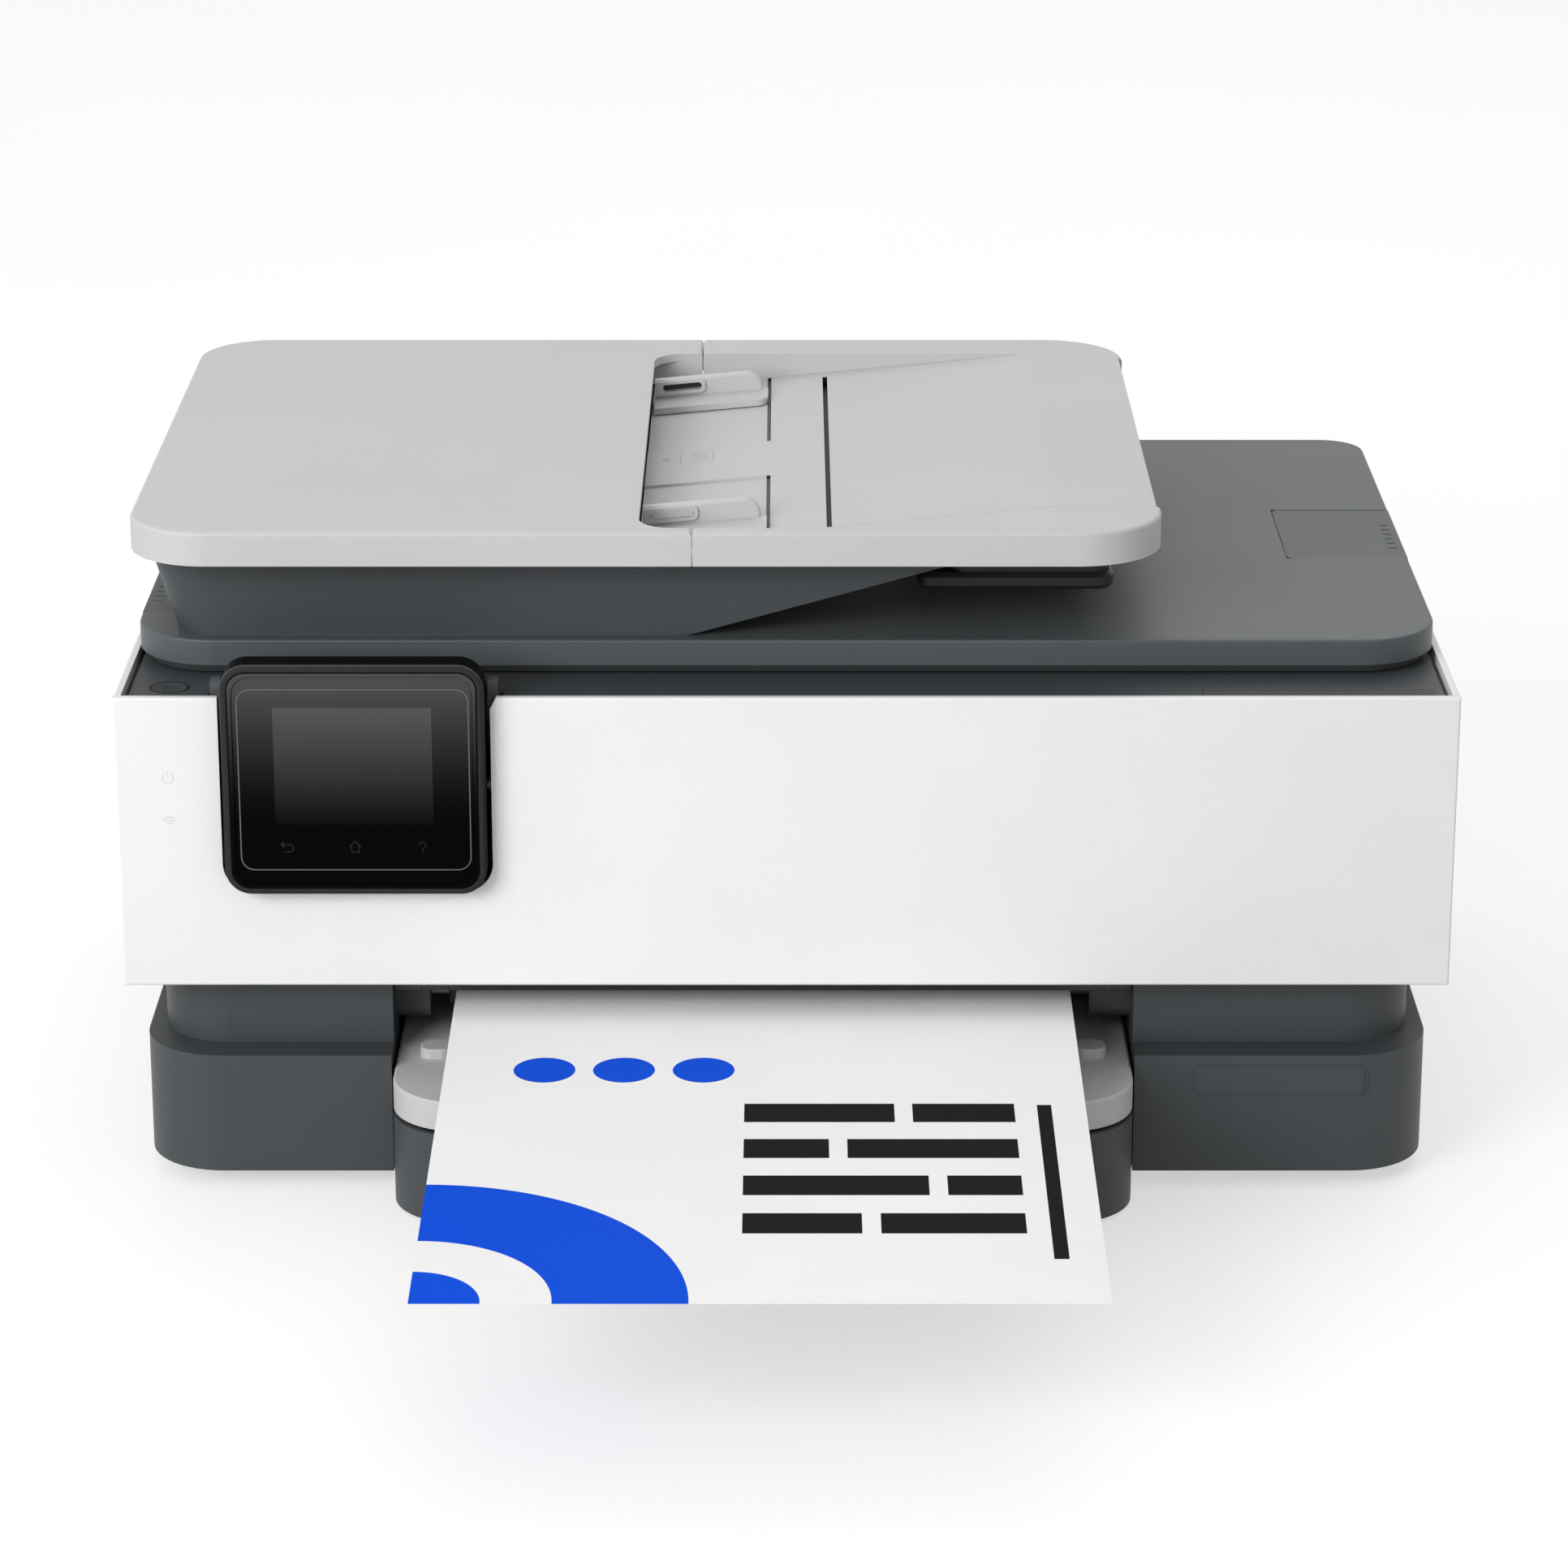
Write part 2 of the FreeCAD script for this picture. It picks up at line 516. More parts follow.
def side_plates():
    """Two pierced steel plates that carry the carriage rod, with brackets for the belt's pulleys."""
    plates = []
    for x in (PLATE_LEFT, PLATE_RIGHT):
        plate = block(x, x + PLATE_THICK, 46, 282, FLOOR_TOP, 148)
        for q in (70, 190, 234):
            plate = plate.cut(plate_window(x, q, 124))
        plate = plate.cut(rod_x(x - 1, x + 3, ROD_Q, ROD_Z, ROD_R + 0.02))
        plates.append(plate)
    motor_bracket = block(-205.5, -172, BELT_Q + 10, BELT_Q + 12, 104, 136)
    motor_bracket = motor_bracket.cut(rod_y(BELT_Q + 9, BELT_Q + 13, -PULLEY_X, PULLEY_Z, 4))
    plates[0] = plates[0].fuse(motor_bracket).removeSplitter()
    idler_bracket = block(178, 203.5, BELT_Q + 10, BELT_Q + 12, 110, 130)
    axle = rod_y(BELT_Q - 1, BELT_Q + 11, PULLEY_X, PULLEY_Z, 2.0)
    plates[1] = plates[1].fuse([idler_bracket, axle]).removeSplitter()
    return Part.makeCompound(plates)


def carriage_rod():
    return rod_x(PLATE_LEFT - 2, PLATE_RIGHT + 4, ROD_Q, ROD_Z, ROD_R)


def platen():
    """Ribbed paper bed between two bearing legs, with the idler gear's axle."""
    bed = block(BAY_LEFT - 3, BAY_RIGHT + 3, EXIT_Q + 10, FEED_Q - 10, 56, 62)
    ribs = [block(BAY_LEFT + 6 + 10 * k, BAY_LEFT + 7.6 + 10 * k, EXIT_Q + 12, FEED_Q - 12, 61, 65.6) for k in range(25)]
    legs = []
    for x in (BAY_LEFT - 3, BAY_RIGHT):
        leg = block(x, x + 3, CHEEK_BACK + 1, FEED_Q + 10, BAY_ROOF, 66)
        for q in (EXIT_Q, FEED_Q):
            leg = leg.cut(rod_x(x - 1, x + 4, q, SHAFT_Z, SHAFT_R + RUN))
        legs.append(leg)
    axle = rod_x(GEAR_X - 2, BAY_LEFT - 1, IDLER_Q, SHAFT_Z, 2.5)
    return join(bed, axle, *ribs, *legs)


def roller(q, right):
    """Steel shaft with rubber drive sleeves along it."""
    shaft = rod_x(GEAR_X - 2, right, q, SHAFT_Z, SHAFT_R)
    sleeves = []
    for k in range(5):
        left = BAY_LEFT + 18 + 46 * k
        sleeve = rod_x(left, left + 22, q, SHAFT_Z, ROLLER_R)
        sleeves.append(sleeve.makeChamfer(0.6, edges_where(sleeve, lambda e: e.BoundBox.XLength < 0.01)))
    return join(shaft, *sleeves)


def feed_roller():
    return roller(FEED_Q, BAY_RIGHT + 6)


def exit_roller():
    return roller(EXIT_Q, BAY_RIGHT + 6)


def exit_gear():
    return gear(SMALL_TEETH, GEAR_X, GEAR_THICK, EXIT_Q, SHAFT_Z, SHAFT_R, 0)


def feed_gear():
    return gear(SMALL_TEETH, GEAR_X, GEAR_THICK, FEED_Q, SHAFT_Z, SHAFT_R, 0)


def idler_gear():
    """The idler's tooth space faces each small gear's tooth."""
    return gear(IDLER_TEETH, GEAR_X, GEAR_THICK, IDLER_Q, SHAFT_Z, 2.5 + RUN, 180.0 / IDLER_TEETH)


def motor_pinion():
    """Turned so that a tooth space takes the idler tooth on the line between the two centres."""
    idler_step = 360.0 / IDLER_TEETH
    idler_phase = ((PINION_ANGLE - 180.0 / IDLER_TEETH) / idler_step) % 1.0
    pinion_step = 360.0 / PINION_TEETH
    turn = PINION_ANGLE + 180.0 + (0.5 + idler_phase) * pinion_step
    return gear(PINION_TEETH, GEAR_X, GEAR_THICK, PINION_Q, PINION_Z, 1.0, turn)


def feed_motor():
    """Round can motor with its end boss, on the left side plate."""
    can = rod_x(-204.9, -166, PINION_Q, PINION_Z, 14)
    can = can.makeChamfer(1.6, edges_where(can, lambda e: e.BoundBox.XMin > -166.1))
    boss = rod_x(-166.5, -163, PINION_Q, PINION_Z, 5)
    shaft = rod_x(-164, GEAR_X + GEAR_THICK + 1, PINION_Q, PINION_Z, 1.0 - RUN)
    return join(can, boss, shaft)


def pick_arm():
    """Swing arm over the paper stack, on its cross shaft."""
    shaft = rod_x(BAY_LEFT - 3, BAY_RIGHT + 3, ARM_Q, ARM_Z, SHAFT_R)
    cheeks = []
    for x in (-33.0, 16.0):
        cheek = prism_x([(172, 50), (172, 62), (186, 62), (232, 48), (232, 38), (218, 38)], x, x + 3)
        cheeks.append(cheek.cut(rod_x(x - 1, x + 4, PICK_Q, PICK_Z, SHAFT_R + RUN)))
    bridge = block(-33, 19, 173, 192, 57.5, 60.5)
    return join(shaft, bridge, *cheeks)


def pick_roller():
    """Shaft with three ribbed tyres."""
    shaft = rod_x(-34, 20, PICK_Q, PICK_Z, SHAFT_R)
    tyres = [rod_x(x, x + 11, PICK_Q, PICK_Z, PICK_R) for x in (-26, -12.5, 1)]
    return join(shaft, *tyres)


def print_carriage():
    """Open-topped cradle for four cartridges, on a sleeve that runs along the rod."""
    front = CARRIAGE_FRONT
    left = CARRIAGE_LEFT + 3
    right = CARRIAGE_RIGHT - 3
    body = block(CARRIAGE_LEFT, CARRIAGE_RIGHT, front, front + 72, 72, 132)
    body = body.makeFillet(4, edges_where(body, lambda e: e.BoundBox.ZLength > 50))
    room = block(left, right, front + 3, front + 69, 86, 133)
    nose = block(left, right, front - 1, front + 4, 116, 133)
    nozzle = block(HEAD_LEFT - 0.3, HEAD_RIGHT + 0.3, front + 20, front + 54, 71, 87)
    walls = [block(left + CARTRIDGE_STEP * k - 0.8, left + CARTRIDGE_STEP * k, front + 4, front + 69.5, 85.5, 112)
             for k in range(1, 4)]
    sleeve = block(left + 3, right - 3, front + 70, front + 90, 94, 116)
    over_belt = PULLEY_Z + PULLEY_R + BELT_THICK + 0.3
    clamp = block(140, 160, ROD_Q + 2, BELT_Q + BELT_WIDE, over_belt, 132)
    clamp = clamp.fuse(block(140, 160, front + 71, front + 88, 115, 132))
    carriage = body.cut(room).cut(nose).cut(nozzle).fuse(walls + [sleeve, clamp])
    return carriage.cut(rod_x(100, 200, ROD_Q, ROD_Z, ROD_R + RUN)).removeSplitter()


def printhead():
    front = CARRIAGE_FRONT
    head = block(HEAD_LEFT, HEAD_RIGHT, front + 20.3, front + 53.7, 70, 85.3)
    face = block(HEAD_LEFT + 4, HEAD_RIGHT - 4, front + 24, front + 50, 68.6, 70.5)
    return head.fuse(face).removeSplitter()


def ink_cartridge(index):
    """Ink tank with a finger tab on its front face."""
    front = CARRIAGE_FRONT + 5
    back = CARRIAGE_FRONT + 68.6
    left = CARRIAGE_LEFT + 3 + CARTRIDGE_STEP * index + 0.3
    right = left + CARTRIDGE_WIDE
    tank = prism_x([(front, 86.2), (back, 86.2), (back, 138), (front + 13, 138), (front, 130)], left, right)
    tank = tank.makeFillet(1.5, edges_where(tank, lambda e: e.BoundBox.ZMin > 137.9 and e.BoundBox.YLength > 20))
    tab = block(left + 4, right - 4, front - 4, front + 1, 118, 124)
    return tank.fuse(tab).removeSplitter()


def service_station():
    """Parking block with two cap wells and two wiper blades."""
    front = CARRIAGE_FRONT + 6
    back = CARRIAGE_FRONT + 68
    body = block(128, 200, front, back, FLOOR_TOP, 62)
    body = body.cut(block(134, 180, front + 12, back - 12, 50, 63))
    caps = []
    for left in (136, 158):
        cap = block(left, left + 18, front + 15, back - 15, 49, 66)
        caps.append(cap.cut(block(left + 2, left + 16, front + 17, back - 17, 58, 67)))
    wipers = [block(x, x + 1.2, front + 16, back - 16, 60, 67.4) for x in (186, 192)]
    return join(body, *caps, *wipers)


def pulley(x):
    """Flanged belt pulley about Y."""
    rim = rod_y(BELT_Q, BELT_Q + BELT_WIDE, x, PULLEY_Z, PULLEY_R)
    flanges = [rod_y(q, q + 0.8, x, PULLEY_Z, PULLEY_R + 1.6) for q in (BELT_Q - 0.8, BELT_Q + BELT_WIDE)]
    return join(rim, *flanges).cut(rod_y(BELT_Q - 2, BELT_Q + BELT_WIDE + 2, x, PULLEY_Z, 2.0 + RUN))


def motor_pulley():
    return pulley(-PULLEY_X)


def idler_pulley():
    return pulley(PULLEY_X)


def carriage_belt():
    """Endless belt round the two pulleys."""
    inner = PULLEY_R + 0.06
    outer = PULLEY_R + BELT_THICK

    def loop(r):
        run = block(-PULLEY_X, PULLEY_X, BELT_Q + 0.2, BELT_Q + BELT_WIDE - 0.2, PULLEY_Z - r, PULLEY_Z + r)
        ends = [rod_y(BELT_Q + 0.2, BELT_Q + BELT_WIDE - 0.2, x, PULLEY_Z, r) for x in (-PULLEY_X, PULLEY_X)]
        return join(run, *ends)

    return loop(outer).cut(loop(inner))


def carriage_motor():
    can = rod_y(BELT_Q + 12.1, BELT_Q + 48, -PULLEY_X, PULLEY_Z, 13)
    can = can.makeChamfer(1.6, edges_where(can, lambda e: e.BoundBox.YMin > depth_y(BELT_Q + 47.9)))
    shaft = rod_y(BELT_Q - 1, BELT_Q + 13, -PULLEY_X, PULLEY_Z, 2.0)
    return join(can, shaft)


def main_board():
    """Circuit board on standoffs with its processor, heat sink, capacitors and connectors."""
    board = block(-203, -146, 166, 285, 14, 15.6)
    parts = [rod_z(FLOOR_TOP, 14.5, x, q, 2.5) for x in (-198, -151) for q in (172, 280)]
    parts.append(block(-192, -168, 204, 228, 15, 18))
    parts += [block(-191 + 4 * k, -190 + 4 * k, 205, 227, 17.5, 25) for k in range(6)]
    parts += [rod_z(15, 27, x, 190, 4) for x in (-197, -186, -156)]
    parts += [block(x, x + 16, 170, 176, 15, 21) for x in (-186, -166)]
    return join(board, *parts)


def power_supply():
    """Enclosed supply module with vent slots in its lid."""
    case = block(134, 201, 164, 284, FLOOR_TOP, 58)
    case = case.makeFillet(2, edges_where(case, lambda e: e.BoundBox.ZMin > 57.9))
    slots = [block(142 + 6 * k, 145 + 6 * k, 180, 268, 54, 59) for k in range(9)]
    return case.cut(Part.makeCompound(slots))


def port_sockets():
    """Metal-lined sockets in the back wall, each with its contact tongue."""
    sockets = []
    for left, right, low, high in PORTS.values():
        shell = block(left, right, BODY_DEPTH - PORT_DEEP, BODY_DEPTH - 0.4, low, high)
        sockets.append(shell.cut(block(left + 1, right - 1, BODY_DEPTH - PORT_DEEP + 2, BODY_DEPTH, low + 1, high - 1)))
    return Part.makeCompound(sockets)


# Paper trays

def input_tray():
    """Drawer for the paper stack: round front corners, a finger recess, guide tracks and a low back wall."""
    tray = plan_slab(TRAY_LEFT, TRAY_RIGHT, TRAY_FRONT, TRAY_BACK, TRAY_LOW, TRAY_TOP, TRAY_CORNER, 3)
    room = plan_slab(TRAY_LEFT + WALL, TRAY_RIGHT - WALL, TRAY_FRONT + WALL, TRAY_BACK - WALL,
                     TRAY_LOW + 2.2, TRAY_TOP + 1, TRAY_CORNER - WALL, 1)
    tray = tray.cut(room).cut(block(TRAY_LEFT + WALL, TRAY_RIGHT - WALL, TRAY_BACK - 4, TRAY_BACK + 1, 24, 40))
    grip = front_slab(BAY_MID - 42, BAY_MID + 42, TRAY_LOW - 10, 14, TRAY_FRONT - 1, TRAY_FRONT + 1.2, 6)
    tray = tray.cut(grip)
    tracks = [block(BAY_MID - 100, BAY_MID + 100, q, q + 1.6, TRAY_LOW + 1.5, TRAY_LOW + 3.2) for q in (92.0, 112.4)]
    return join(tray, *tracks)


def paper_guide(side):
    """Upright side guide on a foot that slides between the tray's tracks."""
    foot_low = TRAY_LOW + 2.3
    edge = BAY_MID + side * (PAGE_WIDTH / 2 + 0.6)
    x0, x1 = sorted((edge, edge + side * 2.4))
    wall = block(x0, x1, 62, 150, foot_low + 1.2, 30)
    wall = wall.makeFillet(8, edges_where(wall, lambda e: e.BoundBox.ZMin > 29.9 and e.BoundBox.XLength > 1))
    f0, f1 = sorted((edge + side * 2.4, edge - side * 60))
    foot = block(f0, f1, 94, 112, foot_low, foot_low + 1.6)
    return wall.fuse(foot).removeSplitter()


def output_tray():
    """Pale page tray over the front of the drawer, with a slot for its extension."""
    tray = plan_slab(TRAY_LEFT, TRAY_RIGHT, TRAY_FRONT + 2, 120, OUT_LOW, OUT_TOP, TRAY_CORNER, 2)
    tray = tray.makeChamfer(0.8, level_edges(tray, OUT_TOP))
    slot = block(BAY_MID - 62, BAY_MID + 62, TRAY_FRONT - 1, 112, OUT_LOW + 2, OUT_LOW + 7.4)
    lip_room = block(BAY_MID - 30, BAY_MID + 30, TRAY_FRONT - 1, TRAY_FRONT + 8, OUT_LOW + 2, OUT_TOP + 1)
    tray = tray.cut(slot).cut(lip_room)
    legs = [block(x, x + 2.4, 20, 110, TRAY_TOP, OUT_LOW + 0.5) for x in (TRAY_LEFT, TRAY_RIGHT - 2.4)]
    return join(tray, *legs)


def page_stops():
    """Two low round-cornered stops, snapped onto the page tray beside the page."""
    stops = []
    for left in STOP_LEFTS:
        stop = plan_slab(left, left + STOP_SIDE, STOP_Q, STOP_Q + STOP_SIDE, OUT_TOP, STOP_TOP, 4, 4)
        stops.append(stop.makeChamfer(0.7, level_edges(stop, STOP_TOP)))
    return Part.makeCompound(stops)


def output_extender():
    """Pull-out support for long pages, with a turned-up catch on its front edge."""
    low = OUT_LOW + 2.4
    plate = plan_slab(BAY_MID - 61.4, BAY_MID + 61.4, TRAY_FRONT + 9, 108, low, low + 4.4, 6, 2)
    tongue = block(BAY_MID - 29, BAY_MID + 29, TRAY_FRONT + 2.2, TRAY_FRONT + 12, low, low + 4.4)
    catch = block(BAY_MID - 29, BAY_MID + 29, TRAY_FRONT + 2.2, TRAY_FRONT + 5, low, OUT_TOP - 0.4)
    return join(plate, tongue, catch)


def printed_sheet():
    """The page that is just being delivered, still held by its tail at the exit rollers."""
    run = math.sqrt(PAGE_LENGTH ** 2 - PAGE_DROP ** 2)
    tail_q = run - SHEET_OUT
    at_roller = (tail_q - EXIT_Q) / run * PAGE_DROP
    tail_z = SHAFT_Z + ROLLER_R + 0.3 + at_roller
    lead_z = tail_z - PAGE_DROP
    profile = [(-SHEET_OUT, lead_z), (tail_q, tail_z), (tail_q, tail_z + PAGE_THICK),
               (-SHEET_OUT, lead_z + PAGE_THICK)]
    return prism_x(profile, BAY_MID - PAGE_WIDTH / 2, BAY_MID + PAGE_WIDTH / 2)


# Scanner lid

def lid_shell():
    """Dark scanner lid with round corners, an undercut edge, a pad recess below and hinge knuckles behind."""
    lid = plan_slab(-LID_HALF, LID_HALF, LID_FRONT, LID_BACK, LID_LOW, LID_TOP, 28, 16)
    lid = lid.makeChamfer(3.2, level_edges(lid, LID_LOW))
    lid = lid.makeFillet(0.8, level_edges(lid, LID_TOP))
    lid = lid.cut(block(-200, 170, 45, 275, LID_LOW - 1, 186.4))
    for left, right, front, back in GRIPS:
        lid = lid.cut(block(left - (left > 0) * 0.3 - (left < 0) * 5, right + (right < 0) * 0.3 + (right > 0) * 5,
                            front - 0.3, back + 0.3, LID_TOP - GRIP_DEEP, LID_TOP + 1))
    knuckles = []
    for x in LID_HINGES:
        lid = lid.cut(block(x, x + NOTCH_WIDE, 286, LID_BACK + 1, LID_LOW - 1, LID_TOP + 1))
        knuckle = rod_x(x + 7.4, x + 26.6, LID_HINGE_Q, LID_HINGE_Z, 5.0)
        web = block(x + 7.4, x + 26.6, 285, LID_HINGE_Q, LID_HINGE_Z - 2, LID_HINGE_Z + 5)
        knuckles.append(knuckle.fuse(web).cut(rod_x(x, x + NOTCH_WIDE, LID_HINGE_Q, LID_HINGE_Z, 3.0 + RUN)))
    return join(lid, *knuckles)


def lid_grips():
    """Inserts let into the lid's sides, with a row of finger ribs along the outer edge."""
    made = []
    for left, right, front, back in GRIPS:
        insert = block(left, right, front, back, LID_TOP - GRIP_DEEP + 0.1, LID_TOP - 0.1)
        out = right if right > 0 else left
        inward = -1 if right > 0 else 1
        corners = edges_where(insert, lambda e: e.BoundBox.ZLength > 2 and abs(e.BoundBox.XMin - out) > 1)
        insert = insert.makeFillet(3, corners)
        for k in range(6):
            x = out + inward * 4.0
            q = front + 14 + 6 * k
            insert = insert.cut(rod_x(x - 1.6, x + 1.6, q, LID_TOP + 0.3, 0.9))
        made.append(insert)
    return Part.makeCompound(made)


def pressure_pad():
    """White backing sheet on foam that holds a page flat on the glass."""
    pad = block(-198, 168, 47, 273, LID_LOW - 0.4, 186.2)
    return pad.makeFillet(2, edges_where(pad, lambda e: e.BoundBox.ZLength > 5))


# Document feeder

def feeder_base():
    """Dark lower housing of the feeder: leaning left side, ramped right side, roller room and cover lugs."""
    top = RIM_LOW - 0.2
    ramp = (top - LID_TOP) / 107.0
    low_top = 216.4
    outline = [(-213, LID_TOP), (-35, LID_TOP), (-35 + (low_top - LID_TOP) / ramp, low_top), (-52, low_top),
               (-52, top), (-222, top)]
    body = prism_y(outline, 38, 285)
    left_edges = edges_where(body, lambda e: e.BoundBox.XMax < -212 and e.BoundBox.ZLength > 20)
    body = body.makeFillet(16, left_edges)
    room = block(-200, -56, 48, 275, LID_TOP + 5, top + 1)
    body = body.cut(room)
    body = body.cut(block(-57, -40, 60, 262, 206, low_top + 6))
    body = body.cut(rod_y(40, 283, ROLLER_X, ROLLER_Z, 3.0 + RUN))
    lugs = []
    for q in COVER_LUGS:
        for at in (q, q + 16.4):
            arm = block(COVER_HINGE_X, -217, at, at + 5.6, 219.5, COVER_HINGE_Z + 1)
            lugs.append(arm.fuse(rod_y(at, at + 5.6, COVER_HINGE_X, COVER_HINGE_Z, 2.0)))
        lugs.append(rod_y(q, q + 22, COVER_HINGE_X, COVER_HINGE_Z, 1.1))
    return join(body, *lugs)


def feeder_roller():
    """Pick roller that draws documents in from the tray."""
    shaft = rod_y(41, 282, ROLLER_X, ROLLER_Z, 3.0)
    tyres = [rod_y(q, q + 26, ROLLER_X, ROLLER_Z, 9.0) for q in (118, 182)]
    tyres = [t.makeChamfer(0.8, edges_where(t, lambda e: e.BoundBox.YLength < 0.01)) for t in tyres]
    return join(shaft, *tyres)


def feeder_cover():
    """Pale lift-up cover over the feeder's rollers, notched for the document pocket."""
    right = SPLIT_X - 0.3
    cover = plan_slab(FEEDER_LEFT, right, FEEDER_FRONT, FEEDER_BACK, RIM_LOW, FEEDER_TOP, (28, 0, 0, 28))
    cover = cover.makeFillet(1.4, edges_where(cover, lambda e: abs(e.BoundBox.ZMin - FEEDER_TOP) < 1e-3
                                              and e.BoundBox.XMin < right - 0.1))
    cover = cover.cut(plan_slab(FEEDER_LEFT + WALL, right + 1, FEEDER_FRONT + WALL, FEEDER_BACK - WALL,
                                RIM_LOW - 1, FEEDER_TOP - 3, (25, 0, 0, 25)))
    cover = cover.cut(plan_slab(POCKET_LEFT, right + 20, POCKET_FRONT, POCKET_BACK, RIM_LOW - 1, FEEDER_TOP + 1,
                                (12, 0, 0, 12)))
    ribs = [block(FEEDER_LEFT + 1, POCKET_LEFT - 4, q, q + 1.8, FEEDER_TOP - 6.5, FEEDER_TOP - 2.5)
            for q in (50, 100, 152, 222, 272)]
    cheek = block(POCKET_LEFT - 8, right, POCKET_BACK, POCKET_BACK + WALL, RIM_LOW, FEEDER_TOP - 2.5)
    apron = block(POCKET_LEFT + 0.2, right, POCKET_BACK, POCKET_BACK + WALL, APRON_LOW, RIM_LOW + 1)
    cover = join(cover, cheek, apron, *ribs)
    for q in COVER_LUGS:
        cover = cover.cut(block(FEEDER_LEFT - 1, COVER_HINGE_X + 4, q - 0.6, q + 22.6, RIM_LOW - 1, COVER_HINGE_Z + 2.6))
        knuckle = rod_y(q + 6, q + 16, COVER_HINGE_X, COVER_HINGE_Z, 2.2)
        web = block(COVER_HINGE_X - 1.6, COVER_HINGE_X + 1.6, q + 6, q + 16, COVER_HINGE_Z, FEEDER_TOP - 2.5)
        cover = cover.fuse(knuckle.fuse(web)).cut(rod_y(q + 5, q + 17, COVER_HINGE_X, COVER_HINGE_Z, 1.1 + RUN))
    return cover.removeSplitter()


def document_tray():
    """Pale document tray: a rim with round right corners round a floor that slopes down to the rollers."""
    tray = plan_slab(SPLIT_X, FEEDER_RIGHT, FEEDER_FRONT, FEEDER_BACK, RIM_LOW, FEEDER_TOP, (0, 30, 30, 0))
    tray = tray.makeFillet(1.4, edges_where(tray, lambda e: abs(e.BoundBox.ZMin - FEEDER_TOP) < 1e-3
                                            and e.BoundBox.XMax > SPLIT_X + 0.1))
    far = FEEDER_RIGHT + 5
    above = FEEDER_TOP + 5

    def over_floor(left, right, front, back, sunk=0.0):
        """Everything above the sloping floor, or above a plane sunk below it."""
        outline = [(left, floor_z(left) - sunk), (min(right, SLOPE_END), floor_z(right) - sunk),
                   (right, floor_z(right) - sunk), (right, above), (left, above)]
        if right <= SLOPE_END:
            del outline[2]
        return prism_y(outline, front, back)

    slab_left = POCKET_LEFT - 0.5
    thin_to = FLAP_LEFT - 6
    slab = prism_y([(slab_left, floor_z(slab_left) - 3.4), (thin_to, floor_z(thin_to) - 3.4),
                    (FLAP_LEFT, floor_z(FLAP_LEFT) - 6.2), (SLOPE_END, FEEDER_TOP - 6.2),
                    (SLOPE_END, FEEDER_TOP - 2), (slab_left, floor_z(slab_left))],
                   POCKET_FRONT + 0.4, POCKET_BACK - 0.4)
    under = plan_slab(SPLIT_X - 1, FEEDER_RIGHT - WALL, FEEDER_FRONT + WALL, FEEDER_BACK - WALL,
                      RIM_LOW - 1, FEEDER_TOP - 3, (0, 27, 27, 0))
    under = under.cut(over_floor(SPLIT_X - 2, FEEDER_RIGHT + 1, 0, 320, 2.6))
    tray = tray.cut(under).fuse(slab)
    tray = tray.cut(over_floor(slab_left - 1, SLOPE_END, POCKET_FRONT, POCKET_BACK))
    tray = tray.cut(block(slab_left - 1, 2, 0, SKIRT_BACK, RIM_LOW - 20, RIM_LOW))
    tray = tray.cut(over_floor(FLAP_LEFT - 1, far, FLAP_FRONT, FLAP_BACK, 4.0))
    tray = tray.cut(block(FLAP_HINGE_X - 7, far, FLAP_FRONT, FLAP_BACK, FLAP_HINGE_Z - 6.2, above))
    for front, back in ((FLAP_FRONT - 4, FLAP_FRONT + 1), (FLAP_BACK - 1, FLAP_BACK + 4)):
        tray = tray.cut(rod_y(front, back, FLAP_HINGE_X, FLAP_HINGE_Z, 1.6 + RUN))
    for front, back in GUIDE_SLOTS:
        tray = tray.cut(over_floor(GUIDE_LEFT - 2, GUIDE_RIGHT + 1.2, front, back, 1.0))
    return tray.removeSplitter()


def document_flap():
    """Fold-out end of the document tray, level with the floor, turning on pins at its right end."""
    left = FLAP_LEFT + 0.8
    right = FEEDER_RIGHT - 1.4
    low = 3.2
    outline = [(left, floor_z(left)), (SLOPE_END, FEEDER_TOP), (right, FEEDER_TOP), (right, FEEDER_TOP - low),
               (SLOPE_END, FEEDER_TOP - low), (left, floor_z(left) - low)]
    flap = prism_y(outline, FLAP_FRONT + 0.4, FLAP_BACK - 0.4)
    pins = [rod_y(FLAP_FRONT - 3.6, FLAP_FRONT + 2, FLAP_HINGE_X, FLAP_HINGE_Z, 1.6),
            rod_y(FLAP_BACK - 2, FLAP_BACK + 3.6, FLAP_HINGE_X, FLAP_HINGE_Z, 1.6)]
    return join(flap, *pins)


def tray_underside():
    """Dark keel below the document tray, with a rolled lower lip."""
    top = RIM_LOW - 0.3
    keel = plan_slab(57, 113, 64, 262, 204, top, 6, 6)
    lip = plan_slab(46, 115, 62, 264, 201, 207, 6, 6)
    lip = lip.makeChamfer(1.5, level_edges(lip, 207) + level_edges(lip, 201))
    return join(keel, lip)


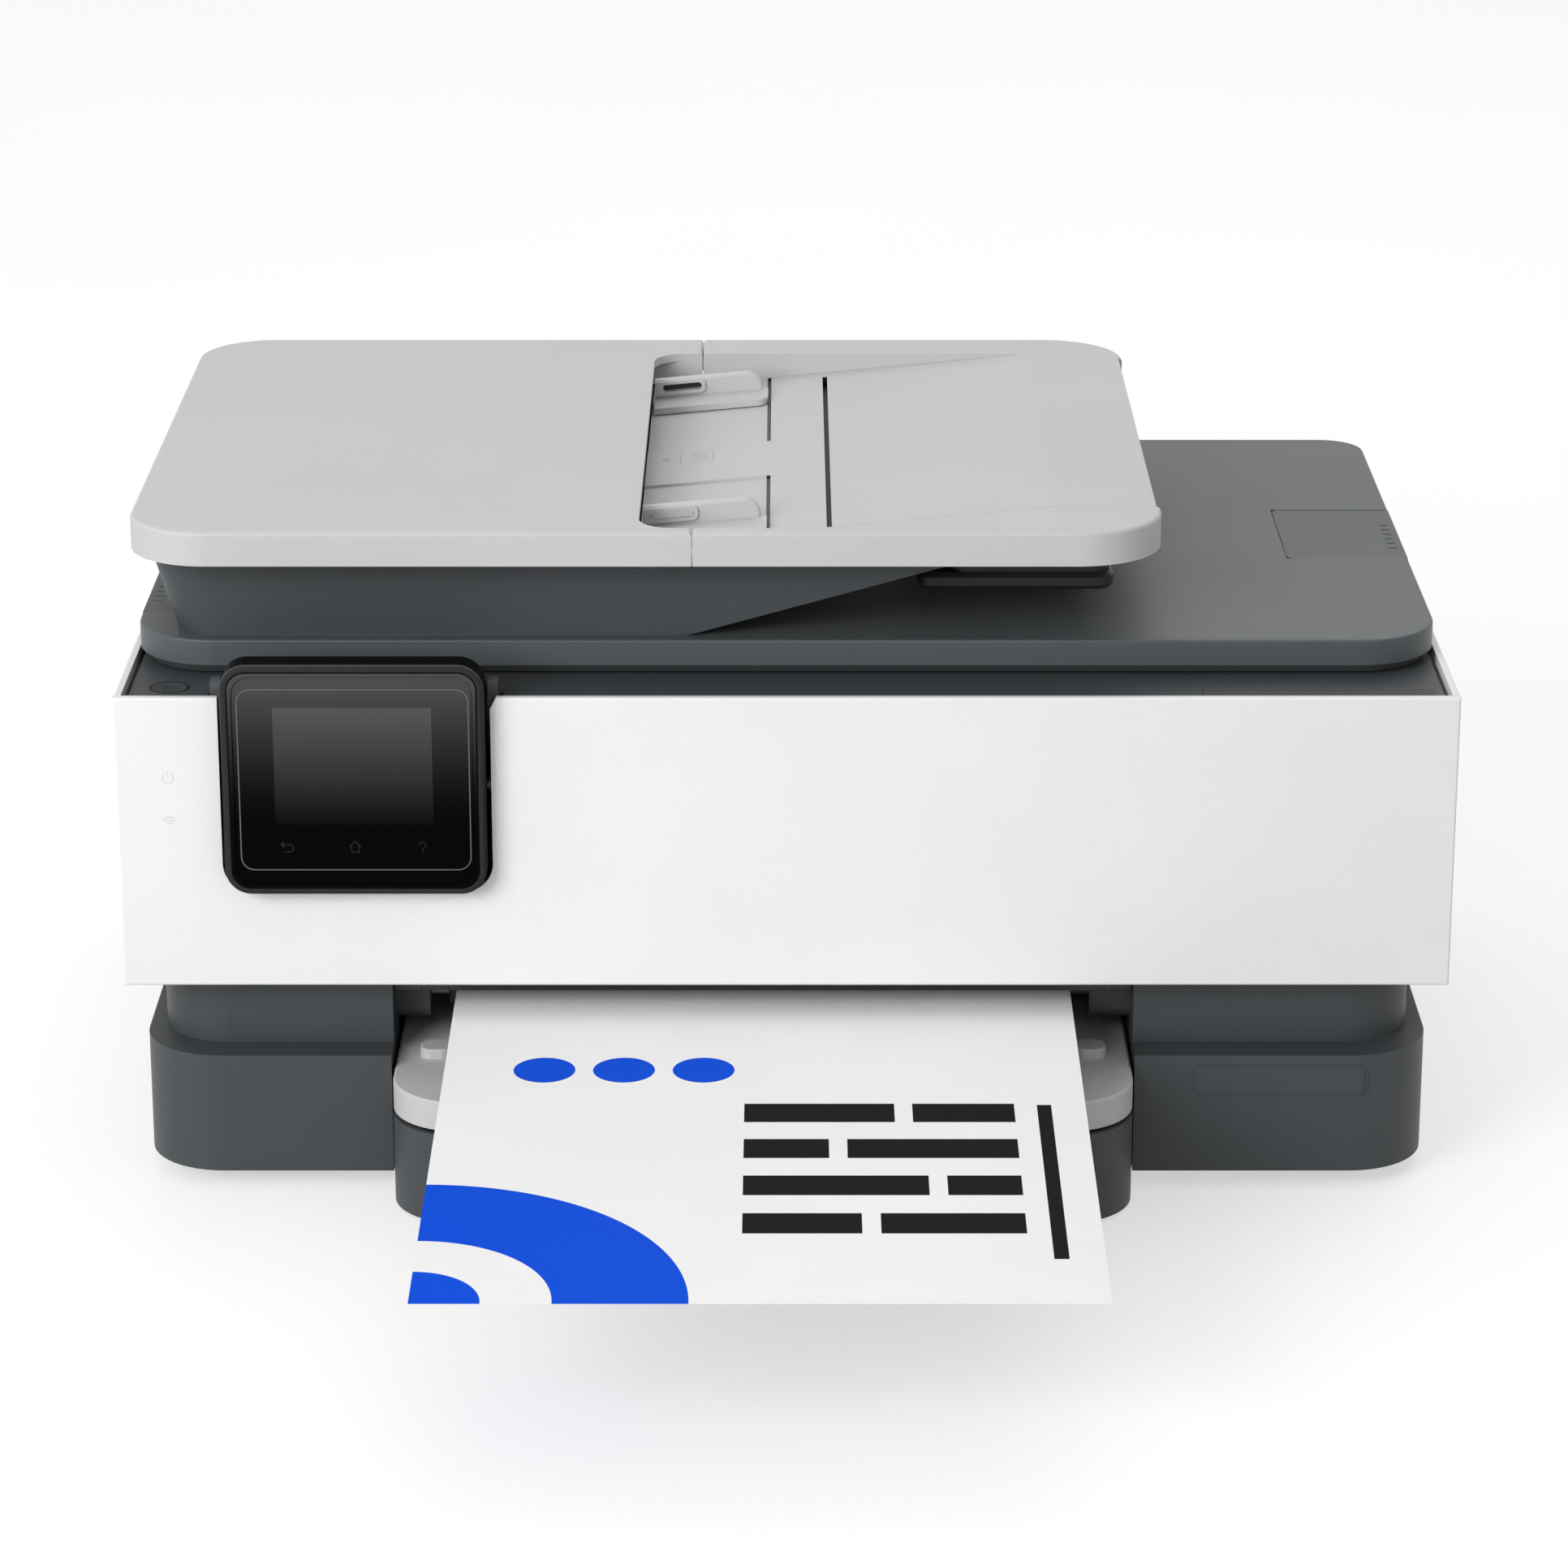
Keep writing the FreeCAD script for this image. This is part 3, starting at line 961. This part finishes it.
def document_guide(front, back, fence_front):
    """Width guide on the sloping floor: a sole sunk in its track and a rounded fence with a finger slot."""
    def line(rise, x):
        return (x, floor_z(x) + rise)

    sole = prism_y([line(-0.6, GUIDE_LEFT), line(-0.6, GUIDE_RIGHT), line(1.8, GUIDE_RIGHT),
                    line(1.8, GUIDE_LEFT)], front, back)
    sole = sole.makeFillet(4, edges_where(sole, lambda e: e.BoundBox.XMin > GUIDE_RIGHT - 0.5 and e.BoundBox.ZLength > 2))
    fence_back = fence_front + FENCE_THICK
    fence = prism_y([line(-0.6, GUIDE_LEFT), line(-0.6, GUIDE_RIGHT - 2), line(FENCE_HIGH, GUIDE_RIGHT - 2),
                     line(FENCE_HIGH, GUIDE_LEFT)], fence_front, fence_back)
    fence = fence.makeFillet(6, edges_where(fence, lambda e: e.BoundBox.XMin > GUIDE_RIGHT - 3
                                            and e.BoundBox.ZMin > floor_z(GUIDE_RIGHT) + 6))
    fence = fence.makeFillet(1.2, edges_where(fence, lambda e: e.BoundBox.XLength > 20
                                              and e.BoundBox.ZMin > floor_z(GUIDE_LEFT) + 6))
    slot_left = GUIDE_LEFT + 3
    slot_right = slot_left + 15
    slot = prism_y([line(4.2, slot_left), line(4.2, slot_right), line(7.0, slot_right),
                    line(7.0, slot_left)], fence_front - 3, fence_back + 1)
    slot = slot.makeFillet(1.3, edges_where(slot, lambda e: e.BoundBox.YLength > 6))
    frame = prism_y([line(2.9, GUIDE_LEFT), line(2.9, slot_right + 1.4), line(8.2, slot_right + 1.4),
                     line(8.2, GUIDE_LEFT)], fence_front - 1.0, fence_front + 1)
    frame = frame.makeFillet(2, edges_where(frame, lambda e: e.BoundBox.YLength > 1.5
                                            and e.BoundBox.XMin > slot_right))
    return sole.fuse(fence.fuse(frame).cut(slot)).removeSplitter()


def document_guide_rear():
    return document_guide(234, 254, 250)


def document_guide_front():
    return document_guide(50, 73, 69)


PIECES = {
    "base_casing": base_casing,
    "rubber_feet": rubber_feet,
    "side_cover_left": lambda: side_cover(-1),
    "side_cover_right": lambda: side_cover(1),
    "rear_cover": rear_cover,
    "top_deck": top_deck,
    "hinge_pins": hinge_pins,
    "front_door": front_door,
    "panel_housing": panel_housing,
    "touch_glass": touch_glass,
    "display_module": display_module,
    "power_button": power_button,
    "scanner_glass": scanner_glass,
    "scanner_tub": scanner_tub,
    "scan_rail": scan_rail,
    "scan_bar": scan_bar,
    "side_plates": side_plates,
    "carriage_rod": carriage_rod,
    "platen": platen,
    "feed_roller": feed_roller,
    "exit_roller": exit_roller,
    "feed_gear": feed_gear,
    "exit_gear": exit_gear,
    "idler_gear": idler_gear,
    "motor_pinion": motor_pinion,
    "feed_motor": feed_motor,
    "pick_arm": pick_arm,
    "pick_roller": pick_roller,
    "print_carriage": print_carriage,
    "printhead": printhead,
    "service_station": service_station,
    "motor_pulley": motor_pulley,
    "idler_pulley": idler_pulley,
    "carriage_belt": carriage_belt,
    "carriage_motor": carriage_motor,
    "main_board": main_board,
    "power_supply": power_supply,
    "port_sockets": port_sockets,
    "input_tray": input_tray,
    "paper_guide_left": lambda: paper_guide(-1),
    "paper_guide_right": lambda: paper_guide(1),
    "output_tray": output_tray,
    "page_stops": page_stops,
    "output_extender": output_extender,
    "printed_sheet": printed_sheet,
    "lid_shell": lid_shell,
    "lid_grips": lid_grips,
    "pressure_pad": pressure_pad,
    "feeder_base": feeder_base,
    "feeder_roller": feeder_roller,
    "feeder_cover": feeder_cover,
    "document_tray": document_tray,
    "document_flap": document_flap,
    "tray_underside": tray_underside,
    "document_guide_rear": document_guide_rear,
    "document_guide_front": document_guide_front,
}
for place, colour in enumerate(CARTRIDGES):
    PIECES["ink_cartridge_" + colour] = lambda place=place: ink_cartridge(place)

os.makedirs("parts", exist_ok=True)
for name, make in PIECES.items():
    shape = make()
    if not shape.isValid() or not shape.Solids:
        print("not a valid solid:", name)
    shape.exportStep("parts/" + name + ".step")
    print(name, len(shape.Solids), round(shape.Volume / 1000, 2))
